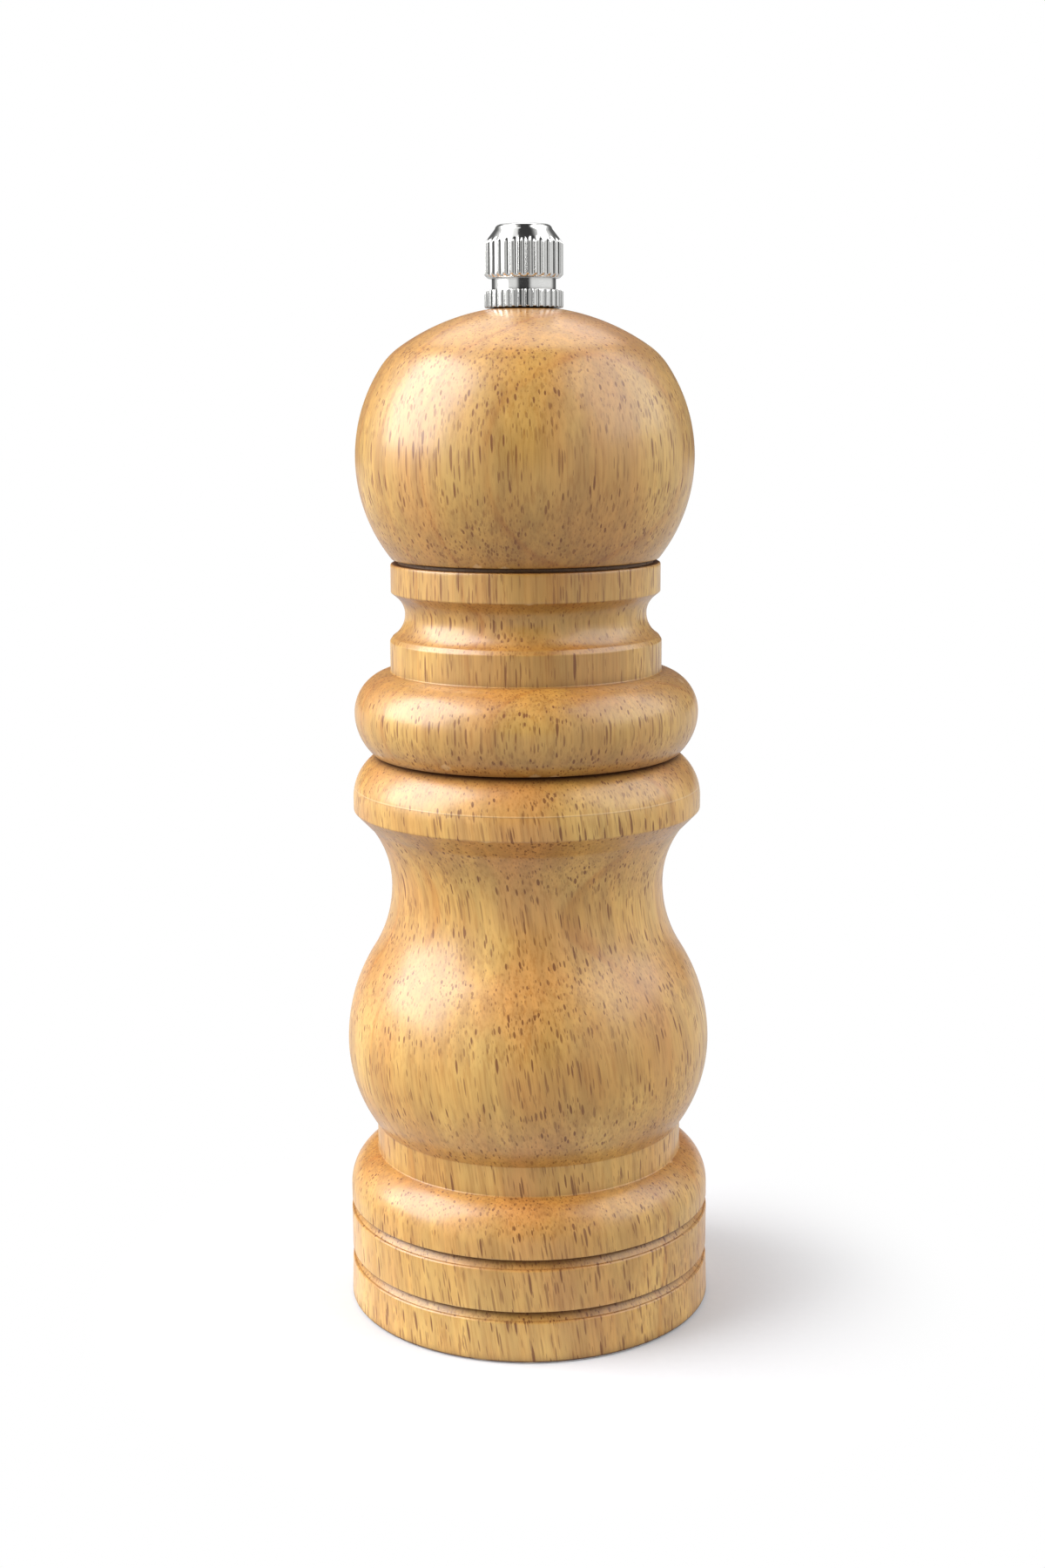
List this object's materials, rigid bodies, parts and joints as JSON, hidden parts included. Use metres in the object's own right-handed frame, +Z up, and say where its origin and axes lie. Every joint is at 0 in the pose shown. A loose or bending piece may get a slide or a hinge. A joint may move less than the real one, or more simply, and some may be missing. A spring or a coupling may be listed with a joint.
{
  "type": "pepper mill",
  "caption": "Turned wooden pepper mill: a ball-topped head turns on a waisted barrel and drives a burr grinder in its base; a fluted metal knob on top sets the grind.",
  "frame": {"origin": "centre of the base's underside, where the mill stands", "axes": "+Z up along the shaft, the axis that the head turns on; +X along the bridge across the base"},
  "size_m": [0.053, 0.053, 0.154],
  "materials": {
    "barrel_wood": "satin lacquer over open-pored turned rubberwood",
    "head_wood": "satin lacquer over open-pored turned rubberwood",
    "knob_chrome": "polished, fluted",
    "shaft_aluminium": "drawn, satin",
    "plate_steel": "stamped, zinc plated",
    "screw_steel": "zinc plated",
    "spring_steel": "bright drawn wire and strip",
    "housing_plastic": "moulded, fine matt texture",
    "hub_plastic": "moulded",
    "washer_plastic": "natural nylon",
    "burr_ceramic": "fired white ceramic, satin",
    "bush_brass": "turned"
  },
  "bodies": {
    "barrel": {"barrel": "barrel_wood", "mechanism_housing": "housing_plastic", "housing_screws": "screw_steel", "burr_ring": "burr_ceramic", "burr_ring_retainer": "spring_steel", "thrust_washer": "washer_plastic", "bridge": "plate_steel", "bridge_bush": "bush_brass", "bridge_screws": "screw_steel"},
    "spring_seat": {"spring_washer": "plate_steel", "burr_spring": "spring_steel"},
    "drive": {"drive_shaft": "shaft_aluminium", "burr_cone": "burr_ceramic", "rotor_hub": "hub_plastic", "shaft_washer": "plate_steel", "shaft_clip": "spring_steel"},
    "head": {"head": "head_wood", "driver_plate": "plate_steel", "driver_plate_screws": "screw_steel"},
    "knob": {"adjusting_knob": "knob_chrome"}
  },
  "joints": [
    {"name": "head_turn", "type": "hinge", "parent": "barrel", "child": "spring_seat", "pos_m": [0, 0, 0], "axis": [0, 0, 1], "continuous": true},
    {"name": "shaft_lift", "type": "slide", "parent": "spring_seat", "child": "drive", "axis": [0, 0, 1], "range_m": [-0.0012, 0.0004], "deforming": ["burr_spring"]},
    {"name": "head_lift", "type": "slide", "parent": "spring_seat", "child": "head", "axis": [0, 0, 1], "range_m": [0, 0.085]},
    {"name": "knob_turn", "type": "hinge", "parent": "head", "child": "knob", "pos_m": [0, 0, 0.1429], "axis": [0, 0, 1], "range_deg": [-200, 560]}
  ],
  "couplings": [
    {"joint": "knob_turn", "follows": "shaft_lift", "rad_per_m": -7854}
  ]
}
